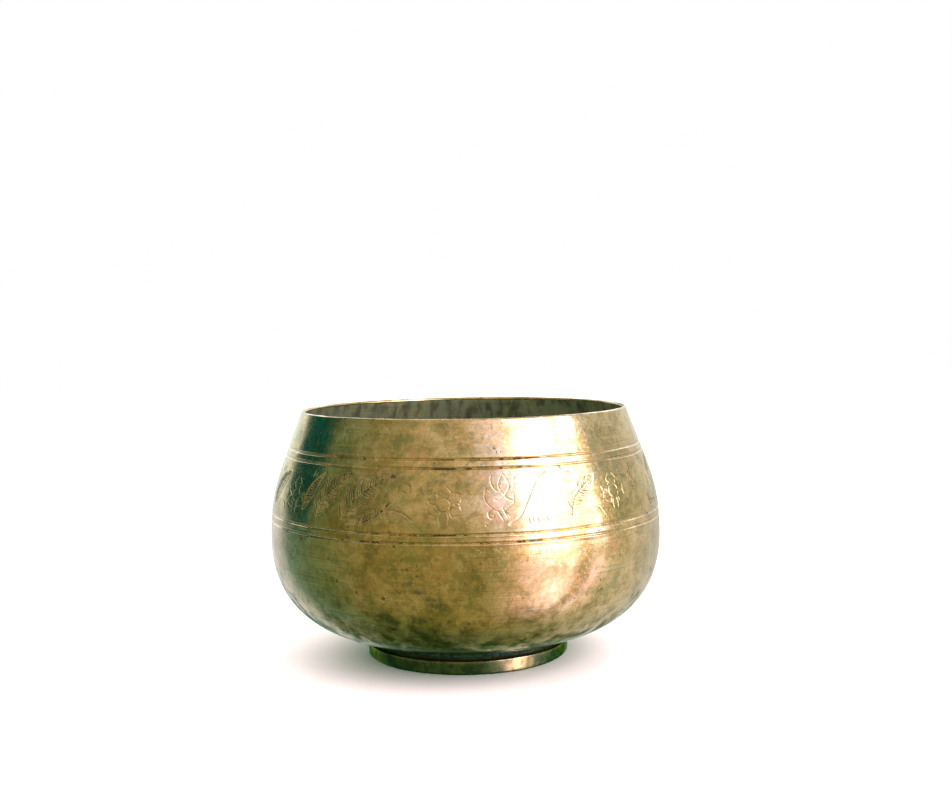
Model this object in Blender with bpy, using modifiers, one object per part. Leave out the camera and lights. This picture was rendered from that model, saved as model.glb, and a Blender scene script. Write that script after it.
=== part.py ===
"""Brass planter pot: a turned bowl on a turned foot ring, joined by a ring of brazing spelter.

Run with: blender --background --python part.py, or from Blender's text editor.
The pot stands on the plane Z = 0 with its axis on Z. All sizes are in metres.
"""

import math

import bpy
from mathutils import Vector
from mathutils.geometry import interpolate_bezier

# Bowl: overall sizes of the outer face
HEIGHT = 0.0965
RIM_RADIUS = 0.0632
BELLY_RADIUS = 0.0760
BELLY_HEIGHT = 0.0475
WALL = 0.0018

# Bowl: underside, whose middle hangs a little lower than where it sits on the seam
HEEL_RADIUS = 0.0450
HEEL_RISE = 0.0024
HEEL_SLOPE = math.radians(13.7)
BASE_DIP = 0.0009

# Bowl: fullness of the outer curve, as shares of each stretch's height or width
RIM_LEAN = math.radians(20.0)
RIM_PULL = 0.55
SHOULDER_PULL = 0.385
LOWER_BELLY_PULL = 0.65
HEEL_PULL = 0.486
BASE_PULL = 0.35

# Turned grooves: two pairs, each measured down from the rim
UPPER_PAIR_DROP = 0.0135
LOWER_PAIR_DROP = 0.0383
PAIR_SPACING = 0.0029
GROOVE_WIDTH = 0.0011
GROOVE_DEPTH = 0.0005
GROOVE_FLOOR = 0.4

# Foot ring: a band with a narrower neck above it
FOOT_RADIUS = 0.0395
FOOT_WALL = 0.0042
FOOT_BAND_HEIGHT = 0.0054
FOOT_EDGE_ROUND = 0.0016
FOOT_INNER_ROUND = 0.0005
FOOT_SHOULDER_ROUND = 0.0004
NECK_HEIGHT = 0.0010
NECK_INSET = 0.0018

# Spelter seam between the foot ring and the bowl
SEAM_THICKNESS = 0.0009
SEAM_FLARE = 0.0008
SEAM_WAIST = 0.3
GAP = 0.0003

# Heights that follow from the foot ring and the seam
FOOT_TOP = FOOT_BAND_HEIGHT + NECK_HEIGHT
SEAT_HEIGHT = FOOT_TOP + GAP + SEAM_THICKNESS + GAP
BASE_HEIGHT = SEAT_HEIGHT - BASE_DIP
HEEL_HEIGHT = BASE_HEIGHT + HEEL_RISE

# Fineness of the turned surfaces
TURN_STEPS = 64
CURVE_SAMPLES = 60
OUTER_STATION = 0.0052
INNER_STATION = 0.0085
MERGE = 0.00001
ARC_POINTS = 4

COLLECTION = "brass_planter_pot"


def clear_scene():
    """Removes every object that the scene holds."""
    for thing in list(bpy.data.objects):
        bpy.data.objects.remove(thing)


def new_collection(name):
    collection = bpy.data.collections.new(name)
    bpy.context.scene.collection.children.link(collection)
    return collection


def brass(name, colour, roughness):
    """A metallic material of the given colour and polish."""
    material = bpy.data.materials.new(name)
    material.use_nodes = True
    shader = material.node_tree.nodes["Principled BSDF"]
    shader.inputs["Base Color"].default_value = (*colour, 1.0)
    shader.inputs["Metallic"].default_value = 1.0
    shader.inputs["Roughness"].default_value = roughness
    return material


def point(radius, height):
    """A profile point, in the plane of X and Z."""
    return Vector((radius, 0.0, height))


def outer_curve():
    """The bowl's smooth outer face as a fine polyline, from the rim down to the middle of its base."""
    rim = point(RIM_RADIUS, HEIGHT)
    belly = point(BELLY_RADIUS, BELLY_HEIGHT)
    heel = point(HEEL_RADIUS, HEEL_HEIGHT)
    base = point(0.0, BASE_HEIGHT)
    shoulder_height = HEIGHT - BELLY_HEIGHT
    lower_height = BELLY_HEIGHT - HEEL_HEIGHT
    lower_width = BELLY_RADIUS - HEEL_RADIUS
    along_rim = point(math.sin(RIM_LEAN), -math.cos(RIM_LEAN)) * shoulder_height * RIM_PULL
    along_heel = point(math.cos(HEEL_SLOPE), math.sin(HEEL_SLOPE))
    base_drop = HEEL_RISE / math.sin(HEEL_SLOPE)
    stretches = [
        (rim, rim + along_rim, belly + point(0.0, shoulder_height * SHOULDER_PULL), belly),
        (
            belly,
            belly - point(0.0, lower_height * LOWER_BELLY_PULL),
            heel + along_heel * lower_width * HEEL_PULL,
            heel,
        ),
        (heel, heel - along_heel * base_drop, base + point(HEEL_RADIUS * BASE_PULL, 0.0), base),
    ]
    curve = [rim]
    for stretch in stretches:
        curve.extend(interpolate_bezier(*stretch, CURVE_SAMPLES)[1:])
    return curve


def running_lengths(curve):
    """The distance from the curve's start to each of its points."""
    lengths = [0.0]
    for before, after in zip(curve, curve[1:]):
        lengths.append(lengths[-1] + (after - before).length)
    return lengths


def place_on(curve, lengths, distance):
    """The point at a distance along the curve, and the outward normal there."""
    last = len(curve) - 2
    index = next((i for i in range(last) if lengths[i + 1] > distance), last)
    step = curve[index + 1] - curve[index]
    share = (distance - lengths[index]) / step.length
    normal = Vector((-step.z, 0.0, step.x)).normalized()
    return curve[index] + step * share, normal


def distance_at_height(curve, lengths, height):
    """How far down the curve from the rim a height is first reached."""
    index = next(i for i in range(len(curve) - 1) if curve[i + 1].z <= height)
    share = (curve[index].z - height) / (curve[index].z - curve[index + 1].z)
    return lengths[index] + share * (lengths[index + 1] - lengths[index])


def height_at_radius(curve, radius):
    """The height of the bowl's underside at a radius inside its heel."""
    inward = [i for i in range(len(curve) - 1) if curve[i + 1].x <= radius < curve[i].x]
    index = inward[-1]
    share = (curve[index].x - radius) / (curve[index].x - curve[index + 1].x)
    return curve[index].z + share * (curve[index + 1].z - curve[index].z)


def rim_start():
    """The distance down the outer face at which the rim's half-round, as high as the bowl, begins."""
    return WALL / 2 * (1.0 - math.sin(RIM_LEAN)) / math.cos(RIM_LEAN)


def stations(lengths, spacing):
    """Distances about a spacing apart from the rim's round to the axis, with one at each stretch's end."""
    per_stretch = CURVE_SAMPLES - 1
    ends = [rim_start()] + lengths[per_stretch::per_stretch]
    found = [ends[0]]
    for start, end in zip(ends, ends[1:]):
        count = max(2, math.ceil((end - start) / spacing))
        found.extend(start + (end - start) * i / count for i in range(1, count + 1))
    return found


def groove_centres(curve, lengths):
    """The distances down the curve of the four grooves' middles."""
    drops = [
        first + spacing
        for first in (UPPER_PAIR_DROP, LOWER_PAIR_DROP)
        for spacing in (0.0, PAIR_SPACING)
    ]
    return [distance_at_height(curve, lengths, HEIGHT - drop) for drop in drops]


def outer_face(curve, lengths):
    """Profile points of the outer face with its grooves, from below the rim's round to the axis."""
    grooves = groove_centres(curve, lengths)
    half = GROOVE_WIDTH / 2
    plain = [
        distance
        for distance in stations(lengths, OUTER_STATION)
        if all(abs(distance - middle) > GROOVE_WIDTH for middle in grooves)
    ]
    cuts = {}
    for middle in grooves:
        cuts[middle - half] = 0.0
        cuts[middle - half * GROOVE_FLOOR] = GROOVE_DEPTH
        cuts[middle + half * GROOVE_FLOOR] = GROOVE_DEPTH
        cuts[middle + half] = 0.0
    face = []
    for distance in sorted(plain + list(cuts)):
        place, normal = place_on(curve, lengths, distance)
        face.append(place - normal * cuts.get(distance, 0.0))
    face[-1] = point(0.0, BASE_HEIGHT)
    return face


def inner_face(curve, lengths):
    """Profile points of the inner face, from the axis up to just below the rim's round."""
    face = []
    for distance in stations(lengths, INNER_STATION):
        place, normal = place_on(curve, lengths, distance)
        face.append(place - normal * WALL)
    face[-1] = point(0.0, BASE_HEIGHT + WALL)
    return face[::-1]


def arc(centre, radius, start, end):
    """Points round an arc, with angles in degrees counted from +X towards +Z."""
    angles = [start + (end - start) * i / (ARC_POINTS - 1) for i in range(ARC_POINTS)]
    return [
        centre + point(math.cos(math.radians(a)), math.sin(math.radians(a))) * radius
        for a in angles
    ]


def rim_round(inner_top, outer_top):
    """The rim's half-round edge, from the inner face over to the outer face, without its two ends."""
    centre = (inner_top + outer_top) / 2
    across = outer_top - inner_top
    lean = math.degrees(math.atan2(across.z, across.x))
    over_inside = arc(centre, across.length / 2, 180.0 + lean, 90.0)[1:]
    over_outside = arc(centre, across.length / 2, 90.0, lean)[1:-1]
    return over_inside + over_outside


def turned(name, profile, material, collection, is_loop):
    """A solid of revolution about Z. The profile runs down its outer side."""
    count = len(profile)
    edges = [(i, i + 1) for i in range(count - 1)]
    if is_loop:
        edges.append((count - 1, 0))
    mesh = bpy.data.meshes.new(name)
    mesh.from_pydata(profile, edges, [])
    mesh.materials.append(material)
    solid = bpy.data.objects.new(name, mesh)
    collection.objects.link(solid)
    screw = solid.modifiers.new("turn", "SCREW")
    screw.axis = "Z"
    screw.angle = math.tau
    screw.steps = TURN_STEPS
    screw.render_steps = TURN_STEPS
    screw.use_merge_vertices = True
    screw.merge_threshold = MERGE
    screw.use_smooth_shade = True
    return solid


def make_bowl(curve, lengths, collection):
    """The bowl: inner face up from the axis, over the rim and down the grooved outer face."""
    inner = inner_face(curve, lengths)
    outer = outer_face(curve, lengths)
    profile = inner + rim_round(inner[-1], outer[0]) + outer
    return turned("bowl", profile, brass("bowl_brass", (0.46, 0.37, 0.15), 0.32), collection, False)


def make_foot_ring(collection):
    """The foot ring: a round-edged band that steps in to a narrower neck below the bowl."""
    inner_radius = FOOT_RADIUS - FOOT_WALL
    neck_radius = FOOT_RADIUS - NECK_INSET
    neck = [
        point(inner_radius, FOOT_TOP),
        point(neck_radius, FOOT_TOP),
        point(neck_radius, FOOT_BAND_HEIGHT),
    ]
    shoulder = point(FOOT_RADIUS - FOOT_SHOULDER_ROUND, FOOT_BAND_HEIGHT - FOOT_SHOULDER_ROUND)
    lower_edge = point(FOOT_RADIUS - FOOT_EDGE_ROUND, FOOT_EDGE_ROUND)
    inner_edge = point(inner_radius + FOOT_INNER_ROUND, FOOT_INNER_ROUND)
    profile = neck + arc(shoulder, FOOT_SHOULDER_ROUND, 90.0, 0.0)
    profile += arc(lower_edge, FOOT_EDGE_ROUND, 0.0, -90.0)
    profile += arc(inner_edge, FOOT_INNER_ROUND, -90.0, -180.0)
    return turned("foot_ring", profile, brass("foot_brass", (0.40, 0.34, 0.14), 0.38), collection, True)


def make_seam(curve, collection):
    """The spelter seam: flat on the foot ring's neck, flared where it meets the bowl's underside."""
    low = FOOT_TOP + GAP
    inner_low = FOOT_RADIUS - FOOT_WALL
    outer_low = FOOT_RADIUS - NECK_INSET
    inner_high = inner_low - SEAM_FLARE
    outer_high = outer_low + SEAM_FLARE
    upper_radii = [inner_high, inner_low, outer_low, outer_high]
    upper = [point(r, height_at_radius(curve, r) - GAP) for r in upper_radii]
    middle = (low + upper[0].z) / 2
    profile = upper + [
        point(outer_low + SEAM_FLARE * SEAM_WAIST, middle),
        point(outer_low, low),
        point(inner_low, low),
        point(inner_low - SEAM_FLARE * SEAM_WAIST, middle),
    ]
    return turned("spelter_seam", profile, brass("spelter", (0.34, 0.31, 0.20), 0.5), collection, True)


def main():
    clear_scene()
    collection = new_collection(COLLECTION)
    curve = outer_curve()
    lengths = running_lengths(curve)
    bowl = make_bowl(curve, lengths, collection)
    foot = make_foot_ring(collection)
    seam = make_seam(curve, collection)
    foot.parent = bowl
    seam.parent = bowl


main()
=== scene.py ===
"""Looks of an old turned brass planter pot with a chased floral band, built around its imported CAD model."""

from math import atan2, cos, exp, pi, radians, sin, sqrt, tan

import bpy
import numpy as np
from mathutils import Matrix, Vector
from mathutils.geometry import interpolate_bezier


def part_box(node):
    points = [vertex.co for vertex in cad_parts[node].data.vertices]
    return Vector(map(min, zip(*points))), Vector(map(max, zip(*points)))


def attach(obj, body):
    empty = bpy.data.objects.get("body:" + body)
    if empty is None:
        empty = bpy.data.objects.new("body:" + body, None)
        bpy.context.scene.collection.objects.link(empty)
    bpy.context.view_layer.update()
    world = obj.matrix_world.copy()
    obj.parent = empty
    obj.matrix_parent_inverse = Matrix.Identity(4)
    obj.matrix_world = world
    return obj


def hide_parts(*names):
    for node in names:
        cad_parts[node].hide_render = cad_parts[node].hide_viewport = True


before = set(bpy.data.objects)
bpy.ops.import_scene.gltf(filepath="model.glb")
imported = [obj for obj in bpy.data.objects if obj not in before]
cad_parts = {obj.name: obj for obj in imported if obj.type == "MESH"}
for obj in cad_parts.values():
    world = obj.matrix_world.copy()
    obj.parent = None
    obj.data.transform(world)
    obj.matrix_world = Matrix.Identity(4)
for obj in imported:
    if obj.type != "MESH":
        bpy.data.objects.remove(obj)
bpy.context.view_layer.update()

MM = 0.001
BOWL_LOW, BOWL_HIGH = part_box("bowl")
FOOT_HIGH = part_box("foot_ring")[1]

# Bowl outline, the same turned shape as the CAD solid, with its overall sizes read from the frame
RIM_RADIUS = 63.2 * MM
HEIGHT = BOWL_HIGH.z
BELLY_RADIUS = BOWL_HIGH.x
BELLY_HEIGHT = 47.5 * MM
BASE_HEIGHT = BOWL_LOW.z
HEEL_RADIUS = 45.0 * MM
HEEL_RISE = 2.4 * MM
HEEL_SLOPE = radians(13.7)
RIM_LEAN = radians(20.0)
WALL = 1.8 * MM

# Foot ring, the same turned shape as the CAD solid
FOOT_WALL = 4.2 * MM
NECK_INSET = 1.8 * MM
NECK_HEIGHT = 1.0 * MM

# Turned grooves, as distances down from the rim
UPPER_PAIR_DROP = 13.5 * MM
LOWER_PAIR_DROP = 38.3 * MM
PAIR_SPACING = 2.9 * MM
GROOVE_HALF = 0.55 * MM
GROOVE_DEPTH = 0.5 * MM
GROOVE_LIP = 0.026 * MM

# Fineness: columns round the pot, each double the next so that rings meet, and the spacing of rows
BAND_COLUMNS = 2048
GROOVE_COLUMNS = 1024
PLAIN_COLUMNS = 512
BAND_ROW = 0.24 * MM
GROOVE_ROW = 0.14 * MM
PLAIN_ROW = 1.2 * MM
INNER_ROW = 2.2 * MM

# Hand-made unevenness of the skin
WAVE_COUNT = 26
WAVE_HEIGHT = 0.03 * MM
FOOT_WAVE_HEIGHT = 0.05 * MM
DENT_COUNT = 26
SEED = 7

# Drops that dried on the bowl: degrees from the front towards the right, height and ring radius in mm
DRIP_MARKS = [
    (-7.2, 41.6, 1.2), (-14.1, 32.7, 1.5), (-7.6, 49.8, 1.3), (39.4, 25.4, 1.0), (40.1, 31.5, 1.0),
    (96.0, 36.0, 1.3), (141.0, 29.0, 1.1), (173.0, 44.0, 1.4), (-118.0, 33.0, 1.2), (-76.0, 27.0, 1.2),
]

# Corroded pits: degrees from the front towards the right, height and radius in mm
PITS = [
    (-36.9, 40.6, 0.85), (-30.9, 82.9, 0.95), (-18.7, 54.2, 0.85), (-22.8, 35.8, 1.0), (0.3, 26.7, 0.75),
    (-39.3, 48.1, 0.6), (-51.7, 35.0, 0.6), (-39.1, 24.1, 0.6), (-12.9, 44.2, 0.5), (-45.7, 79.3, 0.5),
    (11.5, 89.6, 0.45), (9.3, 85.0, 0.5), (88.0, 58.0, 0.7), (124.0, 30.0, 0.9), (160.0, 84.0, 0.7),
    (-148.0, 40.0, 0.85), (-97.0, 49.0, 0.6),
]

# Bright rubbed patches on the foot's band: degrees from the front towards the right, and strength
FOOT_RUBS = [(29.0, 1.0), (74.0, 0.35), (131.0, 0.6), (208.0, 0.8), (296.0, 0.5)]

# Chased band. In mm: half a stroke's width, the spacing of the touches that cut it, and a distance
# that is out of reach of every stroke.
PANELS = 7
PANEL_START = radians(-5.6)
BAND_RADIUS = 72.6 * MM
CHASE_DEPTH = 0.14 * MM
BURR_HEIGHT = 0.015 * MM
LINE_HALF = 0.31
STROKE_STEP = 0.12
UNTOUCHED = 9.0

# Camera at the photograph's viewing angle: sensor and lens in mm, place in metres, turns in degrees
SENSOR = 36.0
LENS = 48.4
CAMERA_PLACE = (0.0, -0.5019, 0.1302)
PITCH, YAW, ROLL = -3.56, -0.56, -0.97

# Window panes that stand on the floor: distance and height in metres
WINDOW_DISTANCE = 0.68
WINDOW_HEIGHT = 0.8
WINDOW_COLOUR = (1.0, 0.95, 1.7)


# ---- outlines


def outer_curve():
    """The bowl's smooth outer face, from the rim down to its base's middle, as (radius, height) rows."""
    rim = Vector((RIM_RADIUS, 0, HEIGHT))
    belly = Vector((BELLY_RADIUS, 0, BELLY_HEIGHT))
    heel = Vector((HEEL_RADIUS, 0, BASE_HEIGHT + HEEL_RISE))
    base = Vector((0, 0, BASE_HEIGHT))
    shoulder = HEIGHT - BELLY_HEIGHT
    lower = BELLY_HEIGHT - heel.z
    along_rim = Vector((sin(RIM_LEAN), 0, -cos(RIM_LEAN))) * shoulder * 0.55
    along_heel = Vector((cos(HEEL_SLOPE), 0, sin(HEEL_SLOPE)))
    drop = HEEL_RISE / sin(HEEL_SLOPE)
    stretches = [
        (rim, rim + along_rim, belly + Vector((0, 0, shoulder * 0.385)), belly),
        (
            belly,
            belly - Vector((0, 0, lower * 0.65)),
            heel + along_heel * (BELLY_RADIUS - HEEL_RADIUS) * 0.486,
            heel,
        ),
        (heel, heel - along_heel * drop, base + Vector((HEEL_RADIUS * 0.35, 0, 0)), base),
    ]
    points = [rim]
    for stretch in stretches:
        points.extend(interpolate_bezier(*stretch, 240)[1:])
    return np.array([(p.x, p.z) for p in points])


class Outline:
    """A polyline with running lengths, read by distance along it."""

    def __init__(self, points):
        self.points = np.asarray(points, float)
        steps = np.diff(self.points, axis=0)
        self.run = np.concatenate([[0.0], np.cumsum(np.hypot(steps[:, 0], steps[:, 1]))])
        self.length = self.run[-1]
        tangent = np.gradient(self.points, self.run, axis=0)
        size = np.hypot(tangent[:, 0], tangent[:, 1])[:, None]
        self.normals = np.stack([-tangent[:, 1], tangent[:, 0]], 1) / size

    def at(self, distance):
        """The (radius, height) and the outward normal at a distance."""
        place = [np.interp(distance, self.run, self.points[:, i]) for i in (0, 1)]
        normal = [np.interp(distance, self.run, self.normals[:, i]) for i in (0, 1)]
        return np.array(place), np.array(normal)

    def at_height(self, height):
        """The distance at which a falling outline first reaches a height."""
        index = int(np.argmax(self.points[:, 1] <= height))
        step = [index, index - 1]
        return float(np.interp(height, self.points[step, 1], self.run[step]))


def spread(start, end, spacing):
    """Distances from start towards end, about a spacing apart, without the end."""
    count = max(1, int(round((end - start) / spacing)))
    return start + (end - start) * np.arange(count) / count


# ---- turned meshes


def bridge(first, upper, second, lower):
    """The faces between a ring of upper points, numbered from first, and one of lower points from second."""
    if upper == lower:
        here = np.arange(upper)
        after = (here + 1) % upper
        return np.stack([first + here, second + here, second + after, first + after], 1)
    few = min(upper, lower)
    here = np.arange(few)
    fine, coarse = (first, second) if upper > lower else (second, first)
    a, b, c = fine + 2 * here, fine + 2 * here + 1, fine + (2 * here + 2) % (2 * few)
    p, q = coarse + here, coarse + (here + 1) % few
    made = np.concatenate([np.stack(t, 1) for t in ((a, p, b), (b, q, c), (b, p, q))])
    return made if upper > lower else made[:, ::-1]


def turned_mesh(name, rows, closed_ends=(False, False)):
    """A mesh from rings of points.

    Each row is a dict with "points", an array of (x, y, z) round the axis, the material "slot" of
    the faces below it, and any of the per-point values "run", the distance along the outline,
    "cut", the dirt in grooves and chased strokes, and also painted shade on the foot ring's neck and
    a painted dark reflection on the rim's crown, "wear" and "haze". Neighbouring rows have as many
    points, or one has twice as many. closed_ends: whether the first and last row end in a point on the axis.
    """
    counts = [len(row["points"]) for row in rows]
    starts = np.concatenate([[0], np.cumsum(counts)])
    vertices = np.concatenate([row["points"] for row in rows])
    blocks = [
        (bridge(starts[i], counts[i], starts[i + 1], counts[i + 1]), row.get("slot", 0))
        for i, row in enumerate(rows[:-1])
    ]
    blocks.sort(key=lambda block: -block[0].shape[1])
    for end, row in enumerate((rows[0], rows[-1])):
        if closed_ends[end]:
            here = starts[-2] * end + np.arange(len(row["points"]))
            after = np.roll(here, -1)
            pole = np.full(len(here), len(vertices))
            vertices = np.vstack([vertices, row["points"].mean(0)])
            order = (here, pole, after) if end else (here, after, pole)
            blocks.append((np.stack(order, 1), row.get("slot", 0)))
    mesh = bpy.data.meshes.new(name)
    mesh.from_pydata(vertices.tolist(), [], [face for block, slot in blocks for face in block.tolist()])
    slots = np.concatenate([np.full(len(block), slot) for block, slot in blocks]).astype(np.int32)
    mesh.polygons.foreach_set("material_index", slots)
    poles = np.zeros(len(vertices) - starts[-1])
    for value in ("run", "cut", "wear", "haze"):
        layer = mesh.attributes.new(value, "FLOAT", "POINT")
        parts = [np.broadcast_to(row.get(value, 0.0), len(row["points"])) for row in rows]
        layer.data.foreach_set("value", np.concatenate([*parts, poles]).astype(np.float32))
    mesh.shade_smooth()
    mesh.update()
    return mesh


def ring_angles(columns):
    """Angles round the axis, counted from the front, -Y, towards +X."""
    return np.arange(columns) * (2 * pi / columns)


def ring(radius, height, angles):
    """Points round the axis at these radii and heights, which may differ from angle to angle."""
    x = np.sin(angles) * radius
    y = -np.cos(angles) * radius
    return np.stack([x, y, np.broadcast_to(height, angles.shape)], 1)


def pushed_ring(place, normal, push, angles):
    """A ring through an outline's place, moved along the outline's normal."""
    return ring(place[0] + normal[0] * push, place[1] + normal[1] * push, angles)


def add_object(name, data):
    """A new object in the scene."""
    thing = bpy.data.objects.new(name, data)
    bpy.context.scene.collection.objects.link(thing)
    return thing


def piece(mesh, materials, node):
    """Puts a mesh in the scene in place of a CAD node."""
    thing = add_object(mesh.name, mesh)
    for material in materials:
        mesh.materials.append(material)
    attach(thing, "root")
    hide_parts(node)


# ---- unevenness


class Waves:
    """Low, seeded ripples over a turned skin, smooth all the way round."""

    def __init__(self, seed, count, height, least_turns, most_turns):
        maker = np.random.default_rng(seed)
        self.turns = maker.integers(least_turns, most_turns, count)
        self.along = maker.uniform(15.0, 190.0, count)
        self.phase = maker.uniform(0, 2 * pi, (2, count))
        self.height = height * maker.uniform(0.4, 1.0, count) / sqrt(count)

    def at(self, angles, run):
        """The ripples' height at these angles, at a distance along the outline."""
        turn = np.sin(np.outer(angles, self.turns) + self.phase[0])
        along = np.sin(self.along * pi * run + self.phase[1])
        return (turn * (self.height * along)).sum(1)


def dents(seed, count, run_low, run_high):
    """Seeded shallow dents: (angle, distance along the outline, half size, depth) for each."""
    maker = np.random.default_rng(seed)
    return [
        (
            maker.uniform(0, 2 * pi),
            maker.uniform(run_low, run_high),
            maker.uniform(1.2, 5.0) * MM,
            maker.uniform(0.02, 0.1) * MM,
        )
        for index in range(count)
    ]


def dent_depth(all_dents, angles, radius, run):
    """How far the dents push in a ring of the skin."""
    depth = np.zeros(len(angles))
    for angle, at_run, half, deep in all_dents:
        if abs(run - at_run) > 2.5 * half:
            continue
        aside = (angles - angle + pi) % (2 * pi) - pi
        away = ((aside * radius) ** 2 + (run - at_run) ** 2) / half**2
        depth += deep * np.exp(-away * 1.6)
    return depth


# ---- chased ornament
# Strokes are drawn in millimetres: x round the pot, y up from the band's lower edge.


def through(points, count=40):
    """A smooth curve through a few points."""
    points = np.asarray(points, float)
    padded = np.vstack([2 * points[0] - points[1], points, 2 * points[-1] - points[-2]])
    t = np.linspace(0, 1, count, endpoint=False)[:, None]
    parts = []
    for a, b, c, d in zip(padded, padded[1:], padded[2:], padded[3:]):
        straight = 2 * b + (c - a) * t
        bent = (2 * a - 5 * b + 4 * c - d) * t**2 + (3 * b - a - 3 * c + d) * t**3
        parts.append(0.5 * (straight + bent))
    parts.append(points[-1:])
    return np.concatenate(parts)


def line(points, width=1.0, depth=1.0, grime=0.3):
    """One stroke: its curve, and its width, depth and grime as shares of the usual."""
    return through(points, 20), width, depth, grime


def curl(centre, radius, start, turns, shrink=0.25):
    """A spiral that winds inwards. With a shrink of 1 it is a ring."""
    share = np.linspace(0, 1, 90)
    angles = np.radians(start) + share * turns * 2 * pi
    size = radius * (1 - share * (1 - shrink))
    x, y = centre[0] + size * np.cos(angles), centre[1] + size * np.sin(angles)
    return np.stack([x, y], 1), 0.95, 0.9, 0.3


def flower(x, y, size=1.0):
    """A round eye with open petals, on two short stems."""
    strokes = [curl((x, y), 2.3 * size, 0, 1, 1)]
    for turn in (90, 25, 155, 205, -25):
        for side in (-1, 1):
            shape = []
            for bend, reach in ((22, 2.7), (30, 4.6), (6, 6.0)):
                angle = radians(turn + side * bend)
                shape.append((x + reach * size * cos(angle), y + reach * size * sin(angle)))
            strokes.append(line(shape, 0.95, 1.0))
    for side in (-1, 1):
        stem = [(x + side * 0.8, y - 2.2), (x + side * 1.5, y - 4.2), (x + side * 1.1, y - 6.4)]
        strokes.append(line(stem, 0.9, 0.9))
    return strokes


def bud(x, y):
    """A pointed bud of three petals in a cup, with a tendril on each side below."""
    fine = [
        ((0, -1.5), (-1.9, 1.6), (-1.4, 4.2), (0, 6.6)),
        ((0, -1.5), (1.9, 1.6), (1.4, 4.2), (0, 6.6)),
        ((0.6, -0.6), (3.4, 1.0), (4.0, 4.4), (6.6, 6.0)),
        ((-0.6, -0.6), (-3.4, 0.6), (-4.6, 3.6), (-4.2, 5.8)),
        ((-6.2, 1.8), (-6.6, -2.6), (-3.4, -6.2), (0.4, -7.2)),
        ((3.0, -1.0), (2.8, -4.0), (-0.2, -6.6), (1.4, -8.8)),
    ]
    cup = [((0, -1.6), (1.6, -2.8), (3.2, -3.0)), ((0, -1.6), (-2.2, -3.0), (-3.6, -2.6))]
    stalk = [((-2.6, -6.2), (-0.6, -9.6)), ((-1.2, -5.8), (0.4, -9.2))]
    strokes = [line(np.add(shape, (x, y)), 0.7, 0.65) for shape in fine]
    strokes += [line(np.add(shape, (x, y)), 0.9, 0.8) for shape in cup]
    strokes += [line(np.add(shape, (x, y)), 0.8, 0.8, 0.9) for shape in stalk]
    return [*strokes, curl((x - 4.6, y - 8.2), 2.0, 70, 0.8)]


def feather(points, width, gap=1.25, both=False, grime=1.0):
    """A leaf along a spine, with close hatching on one or both sides."""
    spine = through(points)
    steps = np.diff(spine, axis=0)
    run = np.concatenate([[0], np.cumsum(np.hypot(steps[:, 0], steps[:, 1]))])
    tangent = np.gradient(spine, axis=0)
    tangent /= np.hypot(tangent[:, 0], tangent[:, 1])[:, None]
    across = np.stack([-tangent[:, 1], tangent[:, 0]], 1)
    half = width * np.sin(pi * (run / run[-1]) ** 0.8) ** 0.75

    def at(distance, out):
        return np.array([np.interp(distance, run, spine[:, i] + across[:, i] * half * out) for i in (0, 1)])

    strokes = [(spine, 1.1, 1.15, grime)]
    for side in (1, -1) if both else (1,):
        strokes.append((spine + across * (half * side)[:, None], 0.9, 0.8, 0.6))
        for distance in np.arange(gap, run[-1] - gap, gap):
            reach = min(distance + abs(width) * 0.7, run[-1])
            shape = [at(distance, 0), at(distance * 0.6 + reach * 0.4, 0.5 * side), at(reach, 0.92 * side)]
            strokes.append(line(shape, 0.85, 1.1, grime))
    return strokes


def ticks(x, y, count, lean):
    """A few short upright nicks."""
    return [
        line([(x + i * 1.7, y), (x + i * 1.7 + lean, y + 2.2 - 0.5 * (i % 2))], 0.9, 0.9, 0.9)
        for i in range(count)
    ]


def palmette(x, y, size):
    """Strokes that fan out from a point."""
    foot = np.array([x, y])
    strokes = []
    for turn in range(15, 176, 23):
        out = np.array([cos(radians(turn)), sin(radians(turn))])
        aside = np.array([-out[1], out[0]]) * 0.5
        shape = [foot + out * 1.4, foot + out * (size / 2 + 0.7) + aside, foot + out * size]
        strokes.append(line(shape, 0.85, 0.9))
    return strokes


def bud_panel():
    """A bud beside a bent stem, with a leaf."""
    stem = [(21.4, 2.4), (25.4, 5.2), (29.0, 11.4), (32.6, 17.2), (37.2, 20.2), (43.0, 20.6), (47.6, 18.6)]
    return [
        *bud(20.5, 13.6),
        line(stem, 1.1, 1.1),
        line([(37.2, 20.2), (31.0, 19.6), (26.4, 19.8), (23.4, 18.0)], 0.8, 0.7),
        curl((46.0, 17.2), 2.0, 20, -0.9),
        *ticks(28.6, 2.4, 5, -0.6),
        *feather([(44.6, 3.4), (46.4, 9.0), (50.6, 13.2), (56.6, 17.0)], 3.6, gap=1.2, both=True, grime=0.6),
        line([(50.4, 3.0), (53.0, 5.8), (56.6, 5.6), (58.6, 3.0)], 0.9, 0.8),
    ]


def leaf_panel():
    """Four leaning leaves with a tendril."""
    return [
        *feather([(6.6, 4.6), (7.6, 10.2), (11.0, 15.4), (16.6, 19.4)], -4.4, gap=1.2, grime=0.8),
        *feather([(15.4, 3.6), (18.0, 9.6), (22.6, 14.8), (29.6, 20.2)], 4.6, gap=1.15, both=True),
        *feather([(27.4, 3.4), (31.0, 9.4), (36.2, 13.8), (44.4, 19.6)], 5.2, gap=1.2, both=True),
        *feather([(29.6, 1.6), (36.0, 2.6), (42.0, 5.6), (47.0, 10.6)], 2.6, gap=1.2),
        line([(40.0, 4.6), (45.0, 7.0), (50.6, 6.4), (54.6, 3.6)], 1.0, 0.9, 0.9),
        curl((51.4, 14.4), 3.0, 200, -1.0),
        *ticks(9.4, 17.0, 2, 0.9),
    ]


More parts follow.
